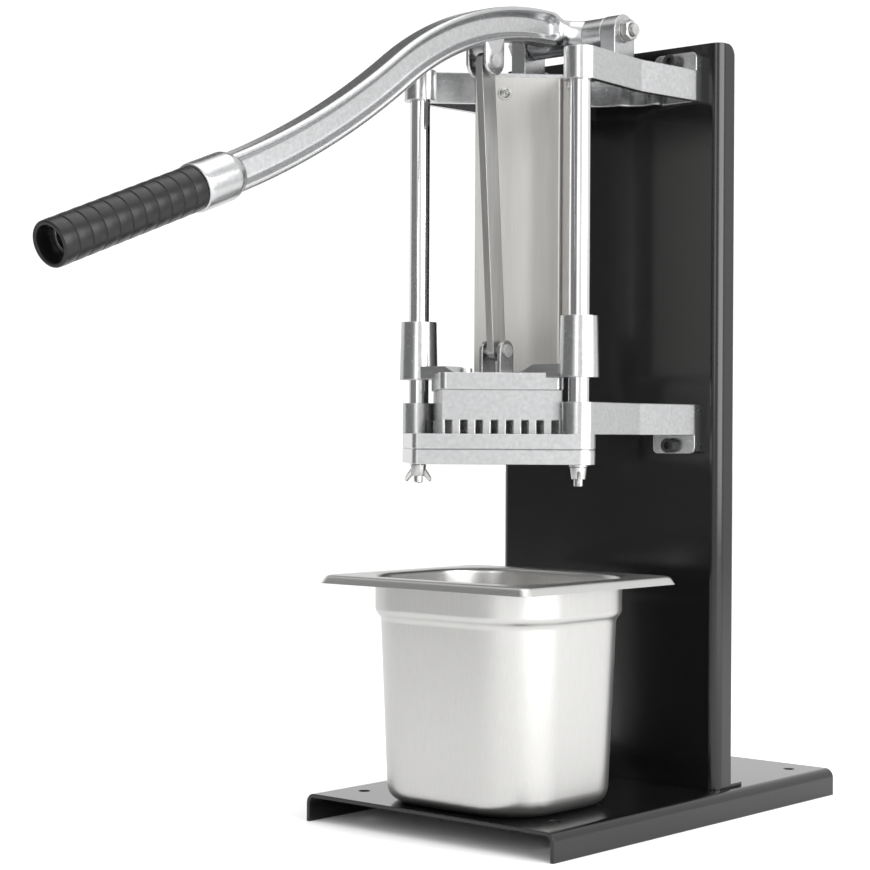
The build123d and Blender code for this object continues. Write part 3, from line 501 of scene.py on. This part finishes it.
panLow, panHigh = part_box("catch_pan")
catchPan = {"rim": 15.0, "skirt": 5.6, "skirtIn": 3.4, "corner": 42.0, "rimCorner": 6.0, "shoulder": 27.0,
            "shoulderIn": 3.2, "shoulderLow": 1.0, "shoulderHigh": 3.0, "shoulderBends": (7.0, 5.0), "taper": 2.1,
            "foot": 12.0, "wall": 0.9, "roll": 3.0, "edgeBend": 1.5, "floorIn": 40.0, "sharpen": 0.6}


def roundRect(halfX, halfY, corner, steps=16):
    # corner arcs joined by straight runs, as one closed ring; the sizes may be arrays, one ring each
    halfX, halfY, corner = [np.asarray(v, float)[..., None] for v in (halfX, halfY, corner)]
    arc = np.linspace(0, math.pi / 2, steps)
    turn = np.concatenate([arc + k * math.pi / 2 for k in range(4)])
    signX, signY = np.repeat([1, -1, -1, 1], steps), np.repeat([1, 1, -1, -1], steps)
    x = signX * (halfX - corner) + corner * np.cos(turn)
    y = signY * (halfY - corner) + corner * np.sin(turn)
    return np.stack([x, y], -1)


def makePan(values):
    # a round-cornered ring carried along the sheet's profile (inset, height): outside from the floor, back inside
    wide, long = (panHigh[0] - panLow[0]) / 2 / mm, (panHigh[1] - panLow[1]) / 2 / mm
    top, floor = panHigh[2] / mm, panLow[2] / mm
    rim, wall, skirt = values["rim"], values["wall"], values["skirt"]
    waist = top - values["shoulder"]
    inward = rim + values["shoulderIn"]
    foot = inward + (waist - floor) * math.tan(math.radians(values["taper"]))
    low, high = waist - values["shoulderLow"], waist + values["shoulderHigh"]
    middleOfFloor, skirtIn = foot + values["floorIn"], values["skirtIn"]
    outer = [(middleOfFloor, floor), (foot, floor), (inward, low), (rim, high), (rim, top - wall),
             (skirtIn, top - wall), (wall, top - skirt)]
    inner = [(0, top - skirt), (skirtIn - 0.6, top), (rim + wall, top), (rim + wall, high + 0.4),
             (inward + wall, low + 0.4), (foot + wall, floor + wall), (middleOfFloor, floor + wall)]
    lowBend, highBend = values["shoulderBends"]
    roll, edge = values["roll"], values["edgeBend"]
    outerBends = np.array([values["foot"], lowBend, highBend, roll, edge])
    innerBends = np.array([edge + wall, roll + wall, highBend, lowBend, values["foot"]])
    inset, height = np.concatenate([rounded(outer, outerBends, 8), rounded(inner, innerBends, 8)]).T
    corner = values["rimCorner"] + (values["corner"] - values["rimCorner"]) * ease(inset, 3, rim)
    corner = corner - values["sharpen"] * np.maximum(inset - rim, 0)
    ring = roundRect(wide - inset, long - inset, np.maximum(corner, 4))
    middle = np.array([panLow[0] + panHigh[0], panLow[1] + panHigh[1]]) / 2 / mm
    points = np.concatenate([ring + middle, np.repeat(height[:, None, None], ring.shape[1], 1)], -1) * mm
    return surfaceObject("catchPan", points, caps=("first", "last"))


dress(makePan(catchPan), "pan", "stainless_sheet", "catch_pan")
print("pan shaped")

pivotNut = {"across": 13.0, "long": 5.5, "bevel": 0.9, "hole": 4.0, "crown": 0.95, "coneFrom": 0.97,
            "coneSlope": 0.577, "land": 0.02}


def makePivotNut(values):
    # rings with a six-sided radius, the ends cut by a cone as a turned bevel is, and a bevelled hole
    turn = roundTurn(96)
    flat, long, hole, bevel = values["across"] / 2, values["long"], values["hole"], values["bevel"]
    side = flat / np.cos((turn + math.pi / 6) % (math.pi / 3) - math.pi / 6)
    cone = (side - flat * values["coneFrom"]) * values["coneSlope"] + values["land"]
    crown, wide = flat * values["crown"], hole + bevel
    rings = [(hole, bevel), (wide, 0), (crown, 0), (side, cone), (side, long - cone), (crown, long), (wide, long),
             (hole, long - bevel)]
    radius, along = [np.array([np.broadcast_to(r[k], turn.shape) for r in rings])[..., None] for k in (0, 1)]
    axis = np.array([1.0, 0.0, 0.0])
    nutAt = np.array([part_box("pivot_nut")[0][0], pivotY, pivotZ])
    points = nutAt + mm * (along * axis + radius * ringWays(axis, turn))
    return surfaceObject("pivotNut", points, closedU=True, smooth=False)


dress(makePivotNut(pivotNut), "stand", "zinc", "pivot_nut")

chuteScrew = {"at": (28.284, 101.526, 500.0), "radius": 3.5, "dome": 2.1, "washer": 4.75, "washerT": 0.8,
              "washerEdge": 0.2, "slotLong": 2.1, "slotWide": 0.42, "slotDeep": 1.2, "slotTurn": 0.5,
              "shank": 1.95, "shankLong": 6.0}


def makeChuteScrew(name, values, origin, axis):
    # polar height field: a dome whose middle drops where either bar of a cross lies, with a washer under it
    turn = roundTurn(96)
    head, slot, washer, thick = values["radius"], values["slotLong"], values["washer"], values["washerT"]
    out = np.concatenate([np.linspace(0.02, slot + 0.4, 26), np.linspace(slot + 0.6, head, 12)])[:, None]
    bars = np.minimum(np.abs(out * np.cos(turn)), np.abs(out * np.sin(turn))) - values["slotWide"]
    inside = np.maximum(bars, out - slot)
    dome = values["dome"] * np.sqrt(np.maximum(1 - (out / head) ** 2 * 0.98, 0)) + thick
    height = dome - values["slotDeep"] * (1 - ease(inside, -0.25, 0.12)) * (1 - 0.5 * out / slot).clip(0.4)
    edge, shank = values["washerEdge"], values["shank"]
    skirt = np.array([(head, thick), (washer - edge, thick), (washer, thick - edge), (washer, 0.0), (shank, 0.0),
                      (shank, -values["shankLong"])])
    radius = np.repeat(np.concatenate([out, skirt[:, :1]]), 96, 1)[..., None]
    along = np.concatenate([height, np.repeat(skirt[:, 1:], 96, 1)])[..., None]
    ways = ringWays(axis, turn + values["slotTurn"])
    points = np.array(origin) + mm * (along * axis + radius * ways)
    return surfaceObject(name, points, caps=("first", "last"))


for screwName, screwSide, screwNodes in (("chuteScrewLeft", -1, ()), ("chuteScrewRight", 1, ("chute_screws",))):
    screwWay = np.array([-screwSide, -1, 0]) / math.sqrt(2)
    screwAt = np.array(chuteScrew["at"]) * (screwSide, 1, 1) * mm
    dress(makeChuteScrew(screwName, chuteScrew, screwAt, screwWay), "stand", "zinc", *screwNodes)

wingNut = {"hub": 5.5, "tip": 4.5, "long": 8.0, "span": 18.0, "drop": 12.5, "top": 1.5, "tall": 5.0, "thick": 2.4,
           "bore": 3.1, "bevel": 0.6, "soft": 0.5, "root": 0.4, "endRound": 1.8, "square": 0.6, "seat": 0.05}
wingSides = {"wing_left": ("wing_nut_left", "leftWingNut", 35.0),
             "wing_right": ("wing_nut_right", "rightWingNut", 131.0)}


def wingParts(name, values, at, degrees):
    # hub: a tapered ring; wing: rounded sections that grow outwards from the hub and hang past its end
    long, bore, bevel = values["long"], values["bore"], values["bevel"]
    ring = rounded([(-bevel, bore), (0, bore + bevel), (0, values["hub"]), (-long, values["tip"]),
                    (-long, bore + bevel), (bevel - long, bore)], values["soft"], 3)
    hub = surfaceObject(name + "Hub", spun(ring * mm, at, (0, 0, 1)), closedU=True)
    out = np.linspace(bore + values["root"], values["span"] / 2, 26)
    grow = ease(out, out[0], out[-1])
    hubMiddle = (values["top"] + long) / 2
    middle = -hubMiddle - grow * (values["drop"] - values["tall"] / 2 - hubMiddle)
    tall = (long - values["top"]) / 2 * (1 - grow) + values["tall"] / 2 * grow
    past = np.maximum((out - out[-1]) / values["endRound"] + 1, 0)
    tall = tall * np.sqrt(np.clip(1 - past ** 2, 0.02, 1))
    turn, square = roundTurn(40), values["square"]
    across = values["thick"] / 2 * np.sign(np.sin(turn)) * np.abs(np.sin(turn)) ** square
    upright = np.sign(np.cos(turn)) * np.abs(np.cos(turn)) ** square
    way = math.radians(degrees)
    wings = []
    for end, turned in (("WingA", way), ("WingB", way + math.pi)):
        x = out[:, None] * math.cos(turned) - across * math.sin(turned)
        y = out[:, None] * math.sin(turned) + across * math.cos(turned)
        points = np.stack([x, y, middle[:, None] + tall[:, None] * upright], -1) * mm + at
        wings.append(surfaceObject(name + end, points, caps=("first", "last")))
    return [hub, *wings]


for wingBody, (wingNode, wingName, wingWay) in wingSides.items():
    wingLow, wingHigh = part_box(wingNode)
    wingAt = (np.array(wingLow) + np.array(wingHigh)) / 2
    wingAt[2] = wingHigh[2] - wingNut["seat"] * mm
    wingHub, *wingPair = wingParts(wingName, wingNut, wingAt, wingWay)
    dress(wingHub, wingBody, "zinc", wingNode)
    for wing in wingPair:
        dress(wing, wingBody, "zinc")
print("fastenings shaped")


# Studio: a pale round floor under a white sky, soft lights, two dark panels and the camera
studio = {"reach": 14.0, "pale": (0.90, 0.90, 0.90), "sky": 1.13}


def plainFinish(name, colour, rough):
    made = bpy.data.materials.new(name)
    made.use_nodes = True
    shader = made.node_tree.nodes["Principled BSDF"]
    shader.inputs["Base Color"].default_value = (*colour, 1)
    shader.inputs["Roughness"].default_value = rough
    return made


def makeFloor(values):
    # rings of a flat disc
    ring = values["reach"] * np.linspace(0.0005, 1, 24) ** 2
    turn = np.linspace(0, -2 * math.pi, 97)[:-1]
    points = np.stack([np.outer(ring, np.cos(turn)), np.outer(ring, np.sin(turn)), np.zeros((24, 96))], -1)
    floor = surfaceObject("floor", points)
    floor.data.materials.append(plainFinish("palePaper", values["pale"], 0.9))


panels = [
    {"name": "frontLeftPanel", "way": -122.0, "away": 1.5, "width": 2.0, "low": 0.02, "high": 1.9, "shade": 0.16},
    {"name": "backLeftPanel", "way": 149.0, "away": 1.6, "width": 1.6, "low": 1.2, "high": 2.8, "shade": 0.10},
]


def makePanel(values):
    # an upright sheet, a little curved towards the object, that only reflections see
    turn = np.radians(values["way"]) + np.linspace(-0.5, 0.5, 13) * values["width"] / values["away"]
    height = np.linspace(values["low"], values["high"], 5)
    points = np.stack([np.outer(np.ones(5), np.cos(turn)) * values["away"],
                       np.outer(np.ones(5), np.sin(turn)) * values["away"], np.outer(height, np.ones(13))], -1)
    panel = surfaceObject(values["name"], points, closedV=False)
    panel.data.materials.append(plainFinish(values["name"], (values["shade"],) * 3, 1.0))
    for ray in ("visible_camera", "visible_shadow", "visible_diffuse"):
        setattr(panel, ray, False)


viewFrom = {"place": (0.88196, -1.02006, 0.26168), "yaw": 0.7145, "pitch": 0.0003, "roll": 0.0055, "lens": 85.94}


def makeCamera(values):
    yaw, pitch, roll = values["yaw"], values["pitch"], values["roll"]
    ahead = Vector((-math.sin(yaw) * math.cos(pitch), math.cos(yaw) * math.cos(pitch), math.sin(pitch)))
    right = Vector((math.cos(yaw), math.sin(yaw), 0))
    up = right.cross(ahead)
    right, up = right * math.cos(roll) + up * math.sin(roll), up * math.cos(roll) - right * math.sin(roll)
    data = bpy.data.cameras.new("camera")
    data.lens, data.sensor_width = values["lens"], 36.0
    camera = bpy.data.objects.new("camera", data)
    turn = Matrix((right, up, -ahead)).transposed()
    camera.matrix_world = Matrix.Translation(values["place"]) @ turn.to_4x4()
    scene.collection.objects.link(camera)
    scene.camera = camera
    return camera


lamps = [
    {"name": "rightSoftbox", "place": (1.9, 0.1, 0.75), "size": (2.0, 1.3), "power": 48},
    {"name": "frontSoftbox", "place": (0.93, -1.99, 0.9), "size": (0.5, 1.2), "power": 6},
    {"name": "topSoftbox", "place": (0.2, 0.0, 2.0), "size": (1.6, 1.6), "power": 12},
]
aimAt = Vector((0.0, 0.05, 0.28))


def makeLamp(values):
    data = bpy.data.lights.new(values["name"], "AREA")
    data.shape = "RECTANGLE"
    data.size, data.size_y = values["size"]
    data.energy = values["power"]
    lamp = bpy.data.objects.new(values["name"], data)
    lamp.location = values["place"]
    lamp.rotation_mode = "QUATERNION"
    lamp.rotation_quaternion = (aimAt - lamp.location).to_track_quat("-Z", "Y")
    scene.collection.objects.link(lamp)


makeFloor(studio)
for panelValues in panels:
    makePanel(panelValues)
makeCamera(viewFrom)
for lampValues in lamps:
    makeLamp(lampValues)
world = bpy.data.worlds.new("studioAir")
world.use_nodes = True
world.node_tree.nodes["Background"].inputs["Color"].default_value = (1, 1, 1, 1)
world.node_tree.nodes["Background"].inputs["Strength"].default_value = studio["sky"]
scene.world = world
scene.view_settings.view_transform = "Standard"
print("studio ready")
